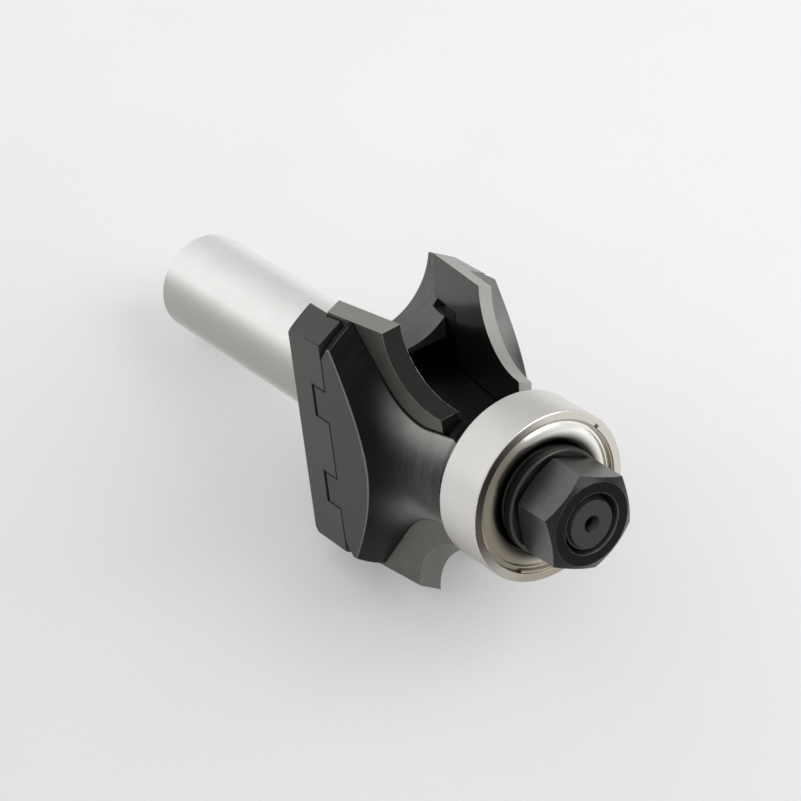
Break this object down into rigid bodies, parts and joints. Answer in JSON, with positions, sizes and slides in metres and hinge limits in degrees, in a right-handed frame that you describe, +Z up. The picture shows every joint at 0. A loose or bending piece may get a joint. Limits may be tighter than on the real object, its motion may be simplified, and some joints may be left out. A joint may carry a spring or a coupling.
{
  "type": "router bit",
  "caption": "Rounding-over router bit: keyed arbor, clamped profile head with cutting knives and chip limiters, and a guide bearing under a nut.",
  "frame": {"origin": "middle of the bounding box, on the surface the bit lies on", "axes": "+X along the bit towards the nut, as it lies, +Z up; the tool axis rises towards the nut"},
  "size_m": [0.074, 0.0234, 0.034],
  "materials": {
    "satin_steel": "fine-ground steel, satin, the flange a little darker",
    "blackened_steel": "black oxide over turned steel",
    "carbide": "ground tungsten carbide, warm grey, the profile land brighter",
    "bearing_steel": "ground bearing steel, satin",
    "cage_steel": "pressed steel",
    "shield_steel": "bright pressed sheet with a warm tint",
    "spring_wire": "drawn spring wire"
  },
  "bodies": {
    "bit": {"arbor": "satin_steel", "profile_head": "blackened_steel", "knife_1": "carbide", "knife_2": "carbide", "limiter_1": "carbide", "limiter_2": "carbide", "bearing_inner_ring": "bearing_steel", "washer": "blackened_steel", "nut": "blackened_steel"},
    "guide_rim": {"bearing_outer_ring": "bearing_steel", "front_shield": "shield_steel", "rear_shield": "shield_steel", "front_snap_wire": "spring_wire", "rear_snap_wire": "spring_wire"},
    "ball_cage": {"bearing_cage": "cage_steel", "ball_1": "bearing_steel", "ball_2": "bearing_steel", "ball_3": "bearing_steel", "ball_4": "bearing_steel", "ball_5": "bearing_steel", "ball_6": "bearing_steel", "ball_7": "bearing_steel"}
  },
  "joints": [
    {"name": "rim_spin", "type": "hinge", "parent": "bit", "child": "guide_rim", "pos_m": [0.02615, 0, 0.02097], "axis": [0.9707, 0, 0.2405], "continuous": true},
    {"name": "cage_spin", "type": "hinge", "parent": "bit", "child": "ball_cage", "pos_m": [0.02615, 0, 0.02097], "axis": [0.9707, 0, 0.2405], "continuous": true}
  ],
  "couplings": [
    {"joint": "cage_spin", "follows": "rim_spin", "ratio": 0.64}
  ]
}
